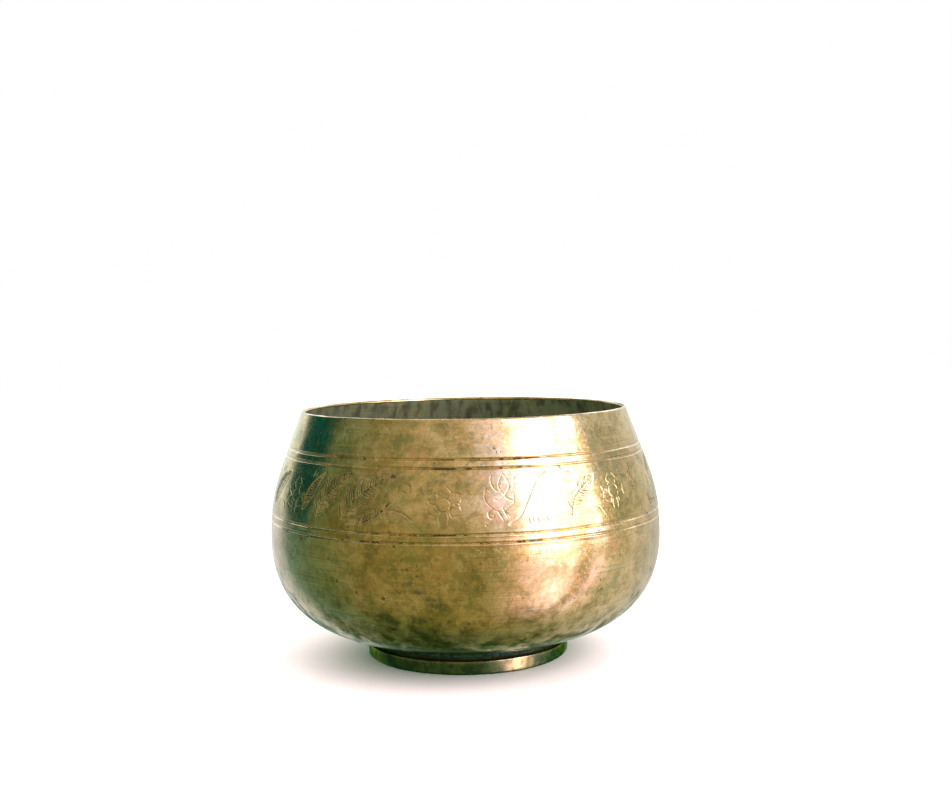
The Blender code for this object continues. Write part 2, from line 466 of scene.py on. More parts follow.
def vine_panel():
    """A winding stem with curls, small leaves and a palmette."""
    stem = [
        (7.6, 3.6), (14.0, 8.4), (21.0, 16.6), (29.0, 18.2),
        (34.0, 12.0), (40.0, 4.8), (47.0, 5.2), (54.0, 13.0),
    ]
    return [
        line(stem, 1.1, 1.1),
        curl((27.2, 11.6), 3.6, 40, 1.2),
        curl((45.6, 12.4), 3.6, 230, -1.1),
        *feather([(14.0, 8.4), (13.2, 13.0), (15.6, 19.2)], 3.2, gap=1.3),
        *feather([(34.0, 12.0), (38.0, 15.2), (43.4, 19.8)], 3.6, gap=1.3),
        *feather([(24.6, 6.0), (27.6, 3.4), (33.4, 3.0)], -2.4, gap=1.4),
        *palmette(55.4, 12.4, 5.6),
    ]


def band_strokes():
    """Every stroke of the band: (curve of angle and height, half width in mm, depth, grime)."""
    maker = np.random.default_rng(SEED + 4)
    panel_width = 2 * pi / PANELS
    order = (bud_panel, vine_panel, leaf_panel, bud_panel, vine_panel, bud_panel, leaf_panel)
    strokes = []
    for index, panel in enumerate(order):
        lift = maker.uniform(-0.4, 0.5)
        start = PANEL_START + index * panel_width
        here = flower(0.0, 8.4 + 2 * maker.uniform(0, 1), maker.uniform(0.95, 1.1)) + panel()
        for curve, width, depth, grime in here:
            drift = maker.uniform(-0.25, 0.25, 2)
            angle = start + (curve[:, 0] + drift[0]) * MM / BAND_RADIUS
            path = np.stack([angle, curve[:, 1] + drift[1] + lift], 1)
            half = LINE_HALF * width * maker.uniform(0.85, 1.15)
            strokes.append((path, half, depth * maker.uniform(0.8, 1.1), grime))
    return strokes


def chased_field(run_at, columns):
    """(cut, ridge, grime, haze) of the band's strokes on a grid of rows and columns, from 0 to 1."""
    nearest = np.full((len(run_at), columns), UNTOUCHED)
    deep, dirty = np.zeros_like(nearest), np.zeros_like(nearest)
    column_mm = 2 * pi * BAND_RADIUS / MM / columns
    heights = (run_at[-1] - run_at) / MM
    row_mm = heights[0] - heights[1]
    for curve, half, depth, grime in band_strokes():
        x = curve[:, 0] * BAND_RADIUS / MM
        steps = np.hypot(np.diff(x), np.diff(curve[:, 1]))
        run = np.concatenate([[0], np.cumsum(steps)])
        fine = np.linspace(0, run[-1], max(2, int(run[-1] / STROKE_STEP)))
        xs, ys = np.interp(fine, run, x), np.interp(fine, run, curve[:, 1])
        taper = np.clip(np.minimum(fine, run[-1] - fine) / 1.4 + 0.45, 0, 1)
        reach = half * 2.6
        across, down = int(reach / column_mm) + 1, int(reach / row_mm) + 1
        for px, py, strength in zip(xs, ys, taper):
            column = int(round(px / column_mm))
            row = int(round((heights[0] - py) / row_mm))
            low, high = max(row - down, 0), min(row + down + 1, len(run_at))
            if low >= high:
                continue
            window = np.arange(column - across, column + across + 1)
            dx = window * column_mm - px
            dy = heights[low:high] - py
            away = np.hypot(dx[None, :], dy[:, None]) / half
            cells = np.ix_(np.arange(low, high), window % columns)
            closer = away < nearest[cells]
            nearest[cells] = np.where(closer, away, nearest[cells])
            deep[cells] = np.where(closer, depth * strength, deep[cells])
            dirty[cells] = np.where(closer, grime, dirty[cells])
    cut = np.clip(1 - nearest**2, 0, 1) ** 1.3 * deep
    ridge = np.exp(-(((nearest - 1.5) / 0.42) ** 2)) * deep
    edge = np.clip(np.minimum(heights[:, None] - 0.6, heights[0] - heights[:, None] - 0.6), 0, 1)
    grime = cut * edge * dirty
    return cut * edge, ridge * edge, grime, softened(grime, 6, 12)


def softened(field, down, across):
    """A field blurred over a few rows and columns; its columns run round the pot."""
    for turn in range(3):
        field = sum(np.roll(field, shift, 1) for shift in range(-across, across + 1)) / (2 * across + 1)
        padded = np.pad(field, ((down, down), (0, 0)), mode="edge")
        field = sum(padded[i : i + len(field)] for i in range(2 * down + 1)) / (2 * down + 1)
    return field


# ---- bowl


def groove_dirt(angles):
    """How much dirt the grooves hold round the pot, from 0 to 1."""
    front = angles + radians(8.0)
    return np.clip(0.68 + 0.32 * np.cos(3 * front) + 0.14 * np.sin(7 * angles + 0.4), 0.12, 1)


def groove_cut(run, centres, angles):
    """How deep, from 0 to 1, a ring of the skin lies in a groove."""
    cut = np.zeros(len(angles))
    for index, centre in enumerate(centres):
        wander = 0.06 * MM * np.sin(angles * 3 + index) + 0.05 * MM * np.sin(angles * 11 + 2 * index)
        away = np.abs(run - centre - wander) / GROOVE_HALF
        depth = 0.85 + 0.15 * np.sin(angles * (5 + index) + 1.7 * index)
        cut = np.maximum(cut, np.clip(1 - away**2, 0, 1) ** 1.2 * depth)
    return cut


def groove_lip(run, centres, angles):
    """The slight burr on each side of a groove, from 0 to 1."""
    lip = np.zeros(len(angles))
    for centre in centres:
        away = np.abs(run - centre) / GROOVE_HALF
        lip = np.maximum(lip, np.exp(-(((away - 1.35) / 0.3) ** 2)))
    return lip


def fade(radius):
    """How strongly the skin is rippled, from 0 on the axis to 1 from 20 mm outwards."""
    return min(1.0, radius / (20 * MM))


def bowl_rows():
    """The bowl's rings, from the middle of its floor up the inside, over the rim and down the outside."""
    outline = Outline(outer_curve())
    rim_start = WALL / 2 * (1 - sin(RIM_LEAN)) / cos(RIM_LEAN)
    grooves = [
        outline.at_height(HEIGHT - first - spacing)
        for first in (UPPER_PAIR_DROP, LOWER_PAIR_DROP)
        for spacing in (0.0, PAIR_SPACING)
    ]
    margin = 1.6 * GROOVE_HALF
    upper = (grooves[0] - margin, grooves[1] + margin)
    lower = (grooves[2] - margin, grooves[3] + margin)
    plan = [
        (spread(rim_start, upper[0], PLAIN_ROW), PLAIN_COLUMNS),
        (spread(upper[0], upper[1], GROOVE_ROW), GROOVE_COLUMNS),
        (spread(upper[1], lower[0], BAND_ROW), BAND_COLUMNS),
        (spread(lower[0], lower[1], GROOVE_ROW), GROOVE_COLUMNS),
        (spread(lower[1], outline.length - 1.5 * MM, PLAIN_ROW), PLAIN_COLUMNS),
    ]
    band_runs = plan[2][0]
    cut_field, ridge_field, grime_field, haze_field = chased_field(band_runs, BAND_COLUMNS)
    waves = Waves(SEED, WAVE_COUNT, WAVE_HEIGHT, 3, 34)
    marks = dents(SEED + 1, DENT_COUNT, rim_start, outline.length * 0.62)
    outer = []
    for runs, columns in plan:
        angles = ring_angles(columns)
        for index, run in enumerate(runs):
            place, normal = outline.at(run)
            push = fade(place[0]) * (waves.at(angles, run) - WAVE_HEIGHT)
            push -= dent_depth(marks, angles, place[0], run)
            cut, haze = np.zeros(columns), 0.0
            if columns == GROOVE_COLUMNS:
                hollow = groove_cut(run, grooves, angles)
                push += groove_lip(run, grooves, angles) * GROOVE_LIP * (1 - hollow)
                push -= hollow * GROOVE_DEPTH
                cut = hollow**1.4 * groove_dirt(angles)
            if columns == BAND_COLUMNS:
                cut, haze = grime_field[index], haze_field[index]
                push += ridge_field[index] * BURR_HEIGHT - cut_field[index] * CHASE_DEPTH
            points = pushed_ring(place, normal, push, angles)
            outer.append({"points": points, "run": run, "cut": cut, "haze": haze})
    return inner_rows(outline, rim_start) + rim_rows(outline, rim_start) + outer


def inner_rows(outline, rim_start):
    """The rings of the bowl's inside, from the middle of its floor up to the rim."""
    waves = Waves(SEED + 2, WAVE_COUNT, WAVE_HEIGHT, 3, 30)
    angles = ring_angles(PLAIN_COLUMNS)
    rows = []
    for run in spread(rim_start, outline.length - 2.0 * MM, INNER_ROW):
        place, normal = outline.at(run)
        inside = -WALL + fade(place[0]) * (waves.at(angles, run) + WAVE_HEIGHT)
        rows.append({"points": pushed_ring(place, normal, inside, angles), "run": -run, "slot": 1})
    rows[0]["slot"] = 0
    return rows[::-1]


def rim_rows(outline, rim_start):
    """The rim's half-round edge, a little flattened and worn, with a darkened crown: partly dirt, partly a
    painted dark reflection.
    """
    place, normal = outline.at(rim_start)
    middle = place - normal * WALL / 2
    lean = atan2(normal[1], normal[0])
    angles = ring_angles(PLAIN_COLUMNS)
    rows = []
    for share in np.linspace(0, 1, 11)[1:-1]:
        turn = lean + pi * (1 - share)
        wear = 0.045 * MM * (1 + np.sin(angles * 4 + 1.0) * 0.5 + np.sin(angles * 13) * 0.3)
        size = WALL / 2 - wear * sin(pi * share)
        points = ring(middle[0] + cos(turn) * size, middle[1] + sin(turn) * size, angles)
        # Painted dark reflection, with some dirt: the rim's crown is darkened through the cut attribute, most
        # at the front.
        grime = 0.8 + 0.14 * np.cos(angles - 0.2) + 0.06 * np.sin(angles * 5)
        crown = sin(pi * share)
        rows.append({"points": points, "run": 0.0, "cut": 0.72 * grime * crown})
    return rows


# ---- foot ring and seam


def arc_points(centre, radius, start, end, count):
    """Points along an arc between two angles in degrees."""
    angles = np.radians(np.linspace(start, end, count))
    return np.stack([centre[0] + radius * np.cos(angles), centre[1] + radius * np.sin(angles)], 1)


def foot_outline(inner, neck, band, edge):
    """The foot ring's outline: down its outer side, across its underside and up its inner side."""
    outer, top = FOOT_HIGH.x, FOOT_HIGH.z
    under, bore = 1.6 * MM, 0.5 * MM
    return np.concatenate([
        np.stack([np.linspace(inner, neck, 6), np.full(6, top)], 1),
        arc_points((neck + 0.7 * MM, top - 0.1 * MM), 0.7 * MM, 180, 262, 7),
        np.stack([np.linspace(neck + 0.8 * MM, outer - edge, 4), np.full(4, band)], 1),
        arc_points((outer - edge, band - edge), edge, 78, 0, 7),
        np.stack([np.full(10, outer), np.linspace(band - edge - 0.25 * MM, under + 0.2 * MM, 10)], 1),
        arc_points((outer - under, under), under, 0, -90, 12),
        np.stack([np.linspace(outer - under, inner + bore, 7)[1:-1], np.zeros(5)], 1),
        arc_points((inner + bore, bore), bore, -90, -180, 6),
        np.stack([np.full(8, inner), np.linspace(bore, top, 10)[1:-1]], 1),
    ])


def foot_rubs(angles):
    """How brightly the foot's band is rubbed round the pot."""
    rubbed = np.zeros(len(angles))
    for at, strength in FOOT_RUBS:
        aside = (angles - radians(at) + pi) % (2 * pi) - pi
        rubbed += strength * np.exp(-((aside / 0.17) ** 2))
    return rubbed


def foot_rows():
    """The foot ring's rings, in the order of its outline."""
    outer, neck = FOOT_HIGH.x, FOOT_HIGH.x - NECK_INSET
    band, edge = FOOT_HIGH.z - NECK_HEIGHT, 0.4 * MM
    smooth = Outline(foot_outline(outer - FOOT_WALL, neck, band, edge))
    waves = Waves(SEED + 5, 18, FOOT_WAVE_HEIGHT, 3, 40)
    angles = ring_angles(PLAIN_COLUMNS)
    marks = dents(SEED + 6, 22, smooth.length * 0.25, smooth.length * 0.62)
    rubbed = foot_rubs(angles)
    rows = []
    for (radius, height), normal, run in zip(smooth.points, smooth.normals, smooth.run):
        upright = abs(normal[0])
        push = upright * (waves.at(angles, run) - FOOT_WAVE_HEIGHT)
        push -= dent_depth(marks, angles, radius, run) * 0.8 * upright
        turning = 0.012 * MM * sin(run / MM * 9.0) * upright
        points = ring(radius + normal[0] * (push + turning), height, angles)
        points[:, 2] = np.clip(points[:, 2], 0, None)
        near_edge = exp(-((height - (band - edge)) / (0.5 * MM)) ** 2)
        on_band = 1.0 if radius > neck + 0.5 * MM and 0.7 * MM < height < band else 0.0
        wear = np.clip((near_edge * 0.25 + rubbed) * upright * on_band, 0, 1)
        # Painted shade: the foot ring's neck, in the recess under the bowl, is darkened through the cut
        # attribute.
        shaded = 1.0 if radius < outer - 0.6 * MM and height > band - 0.2 * MM else 0.0
        rows.append({"points": points, "run": run, "wear": wear, "cut": shaded * 0.7})
    rows.append(rows[0])
    return rows


def seam_rows():
    """The spelter's rings: a lumpy fillet that wets the foot ring's top and the bowl's underside."""
    inner, outer = FOOT_HIGH.x - FOOT_WALL, FOOT_HIGH.x - NECK_INSET
    low = FOOT_HIGH.z + 0.02 * MM
    outline = Outline(outer_curve())
    under = outline.points[outline.run > outline.at_height(BASE_HEIGHT + 3.0 * MM)]

    def underside(radius):
        return float(np.interp(radius, under[::-1, 0], under[::-1, 1]))

    upper = [(r, underside(r) - 0.06 * MM) for r in np.linspace(inner - 0.8 * MM, outer + 0.8 * MM, 9)]
    rise = upper[-1][1] - low
    outside = [(outer + 0.8 * MM * (1 - s) ** 2, upper[-1][1] - rise * s) for s in np.linspace(0.2, 1, 6)]
    bottom = [(r, low) for r in np.linspace(outer, inner, 6)[1:-1]]
    drop = upper[0][1] - low
    inside = [(inner - 0.8 * MM * s**2, low + drop * s) for s in np.linspace(0, 0.85, 6)]
    loop = np.array(upper + outside + bottom + inside)
    centre = loop.mean(0)
    maker = np.random.default_rng(SEED + 9)
    turns, phases = maker.integers(5, 60, 16), maker.uniform(0, 2 * pi, 16)
    angles = ring_angles(PLAIN_COLUMNS)
    lumps = np.sin(np.outer(angles, turns) + phases).sum(1) / 16
    rows = []
    for index, (radius, height) in enumerate(loop):
        free = len(upper) <= index < len(upper) + len(outside) or index >= len(loop) - len(inside)
        swell = lumps * 0.35 * MM * (1 if free else 0)
        away = np.array([radius, height]) - centre
        push = swell * np.sign(away[0]) * 0.6
        rows.append({"points": ring(radius + push, height, angles), "run": index * 0.3 * MM})
    rows.append(rows[0])
    return rows


# ---- shader helpers


class Nodes:
    """Short calls that add and link shader nodes."""

    def __init__(self, tree):
        self.tree = tree

    def add(self, kind, **settings):
        """A new node with these settings."""
        made = self.tree.nodes.new(kind)
        for key, value in settings.items():
            setattr(made, key, value)
        return made

    def feed(self, socket, value):
        """Links a socket to another, or sets it to a plain value."""
        if isinstance(value, bpy.types.NodeSocket):
            self.tree.links.new(value, socket)
        else:
            socket.default_value = value

    def maths(self, operation, first, second=0.0):
        """The result of a maths node on one or two numbers."""
        made = self.add("ShaderNodeMath", operation=operation)
        self.feed(made.inputs[0], first)
        self.feed(made.inputs[1], second)
        return made.outputs[0]

    def times(self, first, second):
        return self.maths("MULTIPLY", first, second)

    def plus(self, first, second):
        return self.maths("ADD", first, second)

    def vector(self, operation, first, second):
        """A vector maths node on two vectors."""
        made = self.add("ShaderNodeVectorMath", operation=operation)
        self.feed(made.inputs[0], first)
        self.feed(made.inputs[1], second)
        return made

    def span(self, value, low, high, to_low=0.0, to_high=1.0):
        """A value's share of the way from low to high, smoothed, and carried over to another span."""
        made = self.add("ShaderNodeMapRange", interpolation_type="SMOOTHSTEP")
        self.feed(made.inputs["Value"], value)
        for key, number in (("From Min", low), ("From Max", high), ("To Min", to_low), ("To Max", to_high)):
            made.inputs[key].default_value = number
        return made.outputs["Result"]

    def blend(self, share, first, second, mode="MIX"):
        """A colour between two others."""
        made = self.add("ShaderNodeMix", data_type="RGBA", blend_type=mode, clamp_factor=True)
        self.feed(made.inputs["Factor"], share)
        for name, value in (("A", first), ("B", second)):
            socket = [s for s in made.inputs if s.name == name and s.type == "RGBA"][0]
            self.feed(socket, value if isinstance(value, bpy.types.NodeSocket) else (*value, 1.0))
        return [s for s in made.outputs if s.type == "RGBA"][0]

    def layered(self, colour, layers):
        """A colour with others laid over it, from (share, colour) pairs."""
        for share, tint in layers:
            colour = self.blend(share, colour, tint)
        return colour


class Paint(Nodes):
    """One material, whose nodes end in its Principled shader."""

    def __init__(self, name):
        self.material = bpy.data.materials.new(name)
        self.material.use_nodes = True
        super().__init__(self.material.node_tree)
        self.shader = self.tree.nodes["Principled BSDF"]
        self.place = self.add("ShaderNodeTexCoord").outputs["Object"]
        split = self.add("ShaderNodeSeparateXYZ")
        self.feed(split.inputs[0], self.place)
        self.x, self.y, self.height = split.outputs

    def set(self, name, value):
        """Feeds one of the shader's sockets."""
        self.feed(self.shader.inputs[name], value)

    def attribute(self, name):
        """A per-point value of the mesh."""
        return self.add("ShaderNodeAttribute", attribute_name=name).outputs["Fac"]

    def noise(self, vector, scale, detail=4.0, roughness=0.55, distortion=0.0):
        """Cloudy noise; the scale is in waves per metre."""
        made = self.add("ShaderNodeTexNoise")
        self.feed(made.inputs["Vector"], vector)
        settings = {"Scale": scale, "Detail": detail, "Roughness": roughness, "Distortion": distortion}
        for key, value in settings.items():
            made.inputs[key].default_value = value
        return made.outputs["Fac"]

    def cells(self, vector, scale):
        """(distance to the nearest cell point, that cell's random value)."""
        made = self.add("ShaderNodeTexVoronoi")
        self.feed(made.inputs["Vector"], vector)
        made.inputs["Scale"].default_value = scale
        split = self.add("ShaderNodeSeparateColor")
        self.feed(split.inputs[0], made.outputs["Color"])
        return made.outputs["Distance"], split.outputs[0]

    def stretched(self, x, y, z):
        """The place, scaled unevenly, for streaks."""
        made = self.add("ShaderNodeMapping")
        self.feed(made.inputs["Vector"], self.place)
        made.inputs["Scale"].default_value = (x, y, z)
        return made.outputs[0]

    def relief(self, layers):
        """Feeds the shader's normal with bumps: (height, depth in metres, strength) for each layer."""
        normal = None
        for height, depth, strength in layers:
            made = self.add("ShaderNodeBump")
            self.feed(made.inputs["Height"], height)
            made.inputs["Distance"].default_value = depth
            made.inputs["Strength"].default_value = strength
            if normal is not None:
                self.feed(made.inputs["Normal"], normal)
            normal = made.outputs[0]
        self.feed(self.shader.inputs["Normal"], normal)


# ---- materials

# Colours of the brass and of what lies on it, as linear red, green and blue
DULL_BRASS = (0.33, 0.245, 0.045)
PLAIN_BRASS = (0.64, 0.38, 0.074)
BRIGHT_BRASS = (0.85, 0.56, 0.195)
RED_BLUSH = (0.7, 0.33, 0.085)
OLIVE_FILM = (0.37, 0.305, 0.06)
PALE_SPOT = (0.8, 0.5, 0.15)
OLIVE_SPOT = (0.3, 0.25, 0.05)
GRIT = (0.24, 0.17, 0.06)
FLECK = (0.86, 0.62, 0.3)
SCRATCH = (0.24, 0.18, 0.05)
RUBBED = (0.9, 0.64, 0.29)
PIT = (0.06, 0.045, 0.018)
DRIP_MIDDLE = (0.5, 0.27, 0.07)
DRIP_RING = (0.8, 0.54, 0.21)
HAZE = (0.19, 0.165, 0.032)
# Dark fill of the cut attribute: real dirt in grooves and chased strokes, painted shade on the foot ring's
# neck and a painted dark reflection on the rim's crown.
DIRT_AND_SHADE = (0.034, 0.026, 0.01)
WORN_EDGE = (0.7, 0.48, 0.15)
INSIDE_DARK = (0.09, 0.104, 0.05)
INSIDE_PALE = (0.3, 0.262, 0.106)
LATHE_LINE = (0.11, 0.09, 0.038)
STAIN = (0.075, 0.068, 0.034)
BLOOM = (0.32, 0.3, 0.18)
LIME = (0.52, 0.49, 0.39)
# Spelter colours, very dark green: partly the spelter's own colour, partly painted shade in the gap under the
# bowl.
SPELTER_DARK = (0.012, 0.052, 0.034)
SPELTER_PALE = (0.042, 0.11, 0.07)
VERDIGRIS = (0.06, 0.105, 0.075)
NO_TINT = (1.0, 1.0, 1.0)
# BOWL_PATINA's dark colour fills the bowl's lower belly: tarnish, and also painted shade there.
BOWL_PATINA = ((0.105, 0.12, 0.026), (0.29, 0.245, 0.048), (0.2, 0.36, 0.26))
FOOT_PATINA = ((0.005, 0.048, 0.022), (0.038, 0.102, 0.028), (0.22, 0.42, 0.25))


def wobbled(n, amount, scale):
    """The place, pushed about a little by noise, so that shapes drawn with it come out uneven."""
    made = n.add("ShaderNodeTexNoise")
    n.feed(made.inputs["Vector"], n.place)
    made.inputs["Scale"].default_value = scale
    made.inputs["Detail"].default_value = 2.0
    centred = n.vector("SUBTRACT", made.outputs["Color"], (0.5, 0.5, 0.5)).outputs[0]
    sized = n.vector("MULTIPLY", centred, (amount, amount, amount)).outputs[0]
    return n.vector("ADD", n.place, sized).outputs[0]


def lathe_place(n):
    """A place whose first part runs along the outline, for fine lines that go round the axis."""
    made = n.add("ShaderNodeCombineXYZ")
    n.feed(made.inputs[0], n.times(n.attribute("run"), 1300.0))
    n.feed(made.inputs[1], n.times(n.x, 26.0))
    n.feed(made.inputs[2], n.times(n.y, 26.0))
    return made.outputs[0]


def bowl_radius(height):
    """The bowl's outer radius at a height."""
    outline = Outline(outer_curve())
    return outline.at(outline.at_height(height))[0][0]


def distance_from(n, around, turn, height):
    """The distance of a place from a spot on the bowl, given in degrees and mm."""
    a = radians(turn)
    radius = bowl_radius(height * MM)
    spot = (sin(a) * radius, -cos(a) * radius, height * MM)
    return n.vector("DISTANCE", around, spot).outputs["Value"]


def drip_marks(n):
    """(pale ring, its middle) where drops have dried on the bowl, from 0 to 1."""
    around = wobbled(n, 0.0016, 420.0)
    rings, middles = 0.0, 0.0
    for turn, height, size in DRIP_MARKS:
        away = distance_from(n, around, turn, height)
        off = n.maths("ABSOLUTE", n.maths("SUBTRACT", away, size * MM))
        rings = n.maths("MAXIMUM", rings, n.span(off, 0.55 * MM, 0.1 * MM))
        middles = n.maths("MAXIMUM", middles, n.span(away, size * 0.95 * MM, size * 0.6 * MM))
    return rings, middles


def pit_marks(n):
    """The largest corroded pits, from 0 to 1."""
    around = wobbled(n, 0.0022, 620.0)
    pits = 0.0
    for turn, height, size in PITS:
        away = distance_from(n, around, turn, height)
        pits = n.maths("MAXIMUM", pits, n.span(away, size * MM, size * 0.55 * MM))
    return pits


class Brass(Paint):
    """A material with noise at five sizes, from clouds down to grain, and their sum, the tone."""

    def __init__(self, name):
        super().__init__(name)
        self.cloud = self.noise(self.place, 24.0, 4.0, 0.55, 0.6)
        self.blotch = self.noise(self.place, 105.0, 4.0, 0.56, 0.5)
        self.patch = self.noise(self.place, 250.0, 4.0, 0.6, 0.3)
        self.fleck = self.noise(self.place, 760.0, 3.0, 0.6)
        self.grain = self.noise(self.place, 2300.0, 2.0, 0.6)
        layers = (self.cloud, self.blotch, self.patch, self.fleck, self.grain)
        self.tone = 0.0
        for share, layer in zip((0.2, 0.38, 0.25, 0.11, 0.06), layers):
            self.tone = self.plus(self.tone, self.times(layer, share))


def brass_metal(n):
    """The metal's own colour: cloudy, with red, olive and pale patches."""
    blush = n.noise(n.stretched(1.2, 0.9, 1.1), 62.0, 4.0, 0.6, 0.9)
    olive = n.noise(n.stretched(0.9, 1.2, 1.3), 48.0, 5.0, 0.6, 0.7)
    spot = n.noise(n.place, 175.0, 3.0, 0.5, 1.2)
    return n.layered(DULL_BRASS, [
        (n.span(n.tone, 0.405, 0.485), PLAIN_BRASS),
        (n.span(n.tone, 0.47, 0.56), BRIGHT_BRASS),
        (n.span(blush, 0.54, 0.66, 0.0, 0.55), RED_BLUSH),
        (n.span(olive, 0.5, 0.66, 0.0, 0.6), OLIVE_FILM),
        (n.span(spot, 0.535, 0.575, 0.0, 0.34), PALE_SPOT),
        (n.span(spot, 0.455, 0.415, 0.0, 0.42), OLIVE_SPOT),
    ])


def tarnish_and_shade_share(n, top, full, least):
    """How thickly tarnished the brass is, from 0 to 1, growing downwards along an uneven edge; on the bowl
    this darkening is partly painted shade.
    """
    low = n.height
    for share, layer in ((0.04, n.cloud), (0.05, n.blotch), (0.026, n.patch)):
        low = n.plus(low, n.times(n.maths("SUBTRACT", layer, 0.5), share))
    return n.span(low, top, full, least, 1.0)


def pitting(n, marked):
    """Dark specks and holes, and the placed pits where marked, from 0 to 1."""
    speck = n.span(n.noise(wobbled(n, 0.0006, 900.0), 430.0, 3.0, 0.6), 0.635, 0.7)
    clusters = n.span(n.noise(n.place, 70.0, 3.0), 0.47, 0.62, 0.25, 1.0)
    hole_away, hole_pick = n.cells(wobbled(n, 0.0022, 500.0), 85.0)
    hole = n.times(n.span(hole_away, 0.105, 0.055), n.span(hole_pick, 0.62, 0.66))
    dark = n.maths("MAXIMUM", hole, n.times(speck, clusters))
    if marked:
        dark = n.maths("MAXIMUM", dark, n.times(pit_marks(n), n.span(n.fleck, 0.34, 0.52, 0.55, 1.0)))
    return dark


def drip_layers(n):
    """The dried drops as colour layers."""
    rings, middles = drip_marks(n)
    return [
        (n.times(middles, 0.55), DRIP_MIDDLE),
        (n.times(rings, n.span(n.fleck, 0.38, 0.6, 0.2, 0.6)), DRIP_RING),
    ]


def brass_gloss(n, dark, deep, tarnish_and_shade):
    """The metal's roughness, and most of all that of its pits and dirty cuts."""
    rough = n.span(n.tone, 0.4, 0.58, 0.26, 0.16)
    rough = n.plus(rough, n.span(n.fleck, 0.35, 0.7, -0.03, 0.06))
    for layer, amount in ((dark, 0.16), (deep, 0.35), (tarnish_and_shade, 0.05)):
        rough = n.plus(rough, n.times(layer, amount))
    return rough


def old_brass(name, patinas, tarnish_top, tarnish_full, least_tarnish, wax, marked=False):
    """Worn, hand-polished brass under old wax.

    It is tarnished more thickly from the height tarnish_top down to tarnish_full, and nowhere less than
    least_tarnish, a share from 0 to 1. On the bowl this darker lower part is partly real tarnish and
    partly painted shade on the lower belly. patinas is its darkest and palest colour and the tint
    that it gives reflections. marked adds the bowl's drip marks and pits.
    """
    n = Brass(name)
    # Darker towards the bottom: tarnish, and on the bowl also painted shade on its lower belly.
    tarnish_and_shade = tarnish_and_shade_share(n, tarnish_top, tarnish_full, least_tarnish)
    bare = n.span(tarnish_and_shade, 0.3, 0.95, 1.0, 0.12)
    patina = n.blend(n.span(n.patch, 0.4, 0.62), patinas[0], patinas[1])
    streak = n.noise(lathe_place(n), 1.0, 3.0, 0.6)
    brushed = n.span(n.noise(n.place, 34.0, 2.0), 0.4, 0.62, 0.15, 1.0)
    scratch = n.times(n.span(streak, 0.47, 0.34), brushed)
    rub = n.times(n.times(n.span(streak, 0.55, 0.68), brushed), bare)
    dark = pitting(n, marked)
    haze = n.times(n.span(n.attribute("haze"), 0.05, 0.4), n.span(n.patch, 0.36, 0.6, 1.0, 0.35))
    broken = n.span(n.noise(n.stretched(1.0, 1.0, 0.3), 150.0, 4.0, 0.7), 0.44, 0.56)
    # The cut attribute darkens and dulls: dirt in grooves and chased strokes, painted shade on the foot
    # ring's neck, and a painted dark reflection on the rim's crown.
    deep = n.times(n.span(n.attribute("cut"), 0.22, 0.7), n.span(broken, 0.0, 1.0, 0.55, 1.0))
    wear = n.times(n.attribute("wear"), n.span(n.patch, 0.4, 0.55, 0.45, 1.0))
    n.set("Base Color", n.layered(brass_metal(n), [
        (n.times(tarnish_and_shade, 0.96), patina),
        (n.times(n.span(n.grain, 0.35, 0.65, 0.26, 0.0), bare), GRIT),
        (n.times(n.span(n.fleck, 0.56, 0.72, 0.0, 0.3), bare), FLECK),
        (n.times(scratch, n.span(bare, 0.0, 1.0, 0.1, 0.34)), SCRATCH),
        (n.times(rub, 0.3), RUBBED),
        (n.times(dark, 0.82), PIT),
        *(drip_layers(n) if marked else []),
        (n.times(haze, 0.62), HAZE),
        (deep, DIRT_AND_SHADE),
        (n.times(wear, 0.85), WORN_EDGE),
    ]))
    clean = n.maths("SUBTRACT", 1.0, deep)
    n.set("Metallic", n.maths("SUBTRACT", 1.0, n.times(deep, 0.75)))
    n.set("Coat Weight", n.times(n.span(tarnish_and_shade, 0.0, 1.0, wax, 0.3 * wax), clean))
    n.set("Coat Roughness", 0.12)
    n.set("Specular Tint", n.blend(tarnish_and_shade, NO_TINT, patinas[2]))
    n.set("Specular IOR Level", n.span(deep, 0.0, 0.8, 0.5, 0.12))
    n.set("Roughness", brass_gloss(n, dark, deep, tarnish_and_shade))
    n.relief([
        (n.noise(n.place, 130.0, 3.0, 0.5), 0.00022, 0.2),
        (streak, 0.00004, 0.2),
        (n.plus(n.times(n.grain, 0.4), n.fleck), 0.00006, 0.3),
        (n.maths("SUBTRACT", 1.0, dark), 0.00012, 0.35),
    ])
    return n.material


